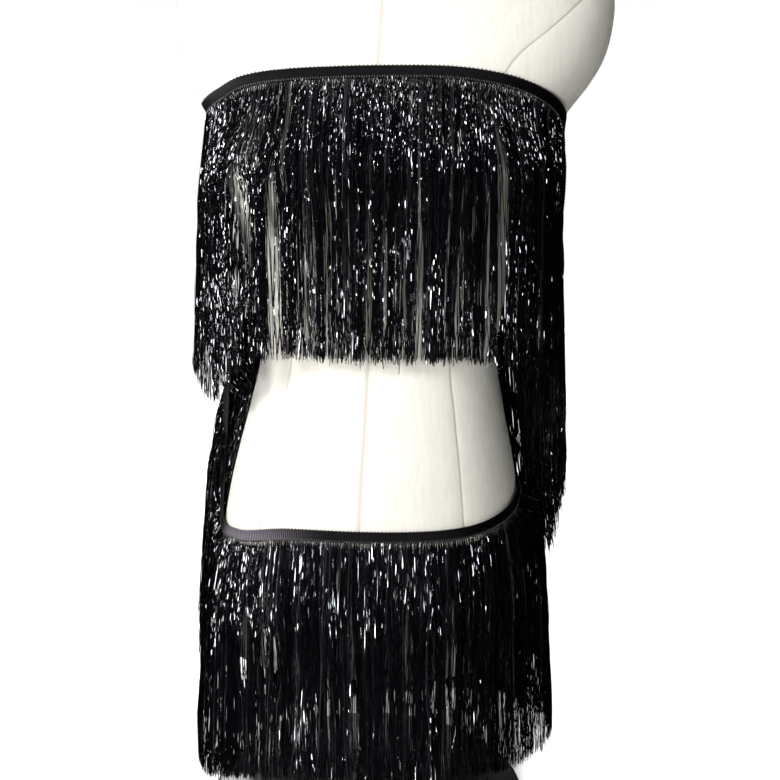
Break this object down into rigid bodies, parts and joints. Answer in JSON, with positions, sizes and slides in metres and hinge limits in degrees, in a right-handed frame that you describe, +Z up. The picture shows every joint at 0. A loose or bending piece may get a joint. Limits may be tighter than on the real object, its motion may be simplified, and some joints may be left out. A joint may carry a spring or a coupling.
{
  "type": "tassel fringe trim on a dress form",
  "caption": "Long black metallic tassel fringe trim on a woven heading tape, wound round a small ivory dress form that stands on a pole and a round base.",
  "frame": {"origin": "middle of the flat underside of the stand's base, on the surface that it stands on, under the pole", "axes": "+Z up along the pole, front of the form towards -Y, the wearer's left towards +X"},
  "size_m": [0.4161, 0.34, 0.9833],
  "materials": {
    "black_tape": "ribbed woven tape with a chained edge",
    "black_lurex": "flat metallic yarn, glossy black with a faint violet tone",
    "ivory_cloth": "matt knitted cover with princess seams",
    "black_enamel": "satin enamel",
    "steel": "brushed"
  },
  "bodies": {
    "root": {"heading_tape": "black_tape", "fringe": "black_lurex", "form_torso": "ivory_cloth", "form_neck_cap": "black_enamel", "form_socket": "black_enamel", "stand_pole": "steel", "stand_base": "black_enamel"}
  },
  "joints": []
}
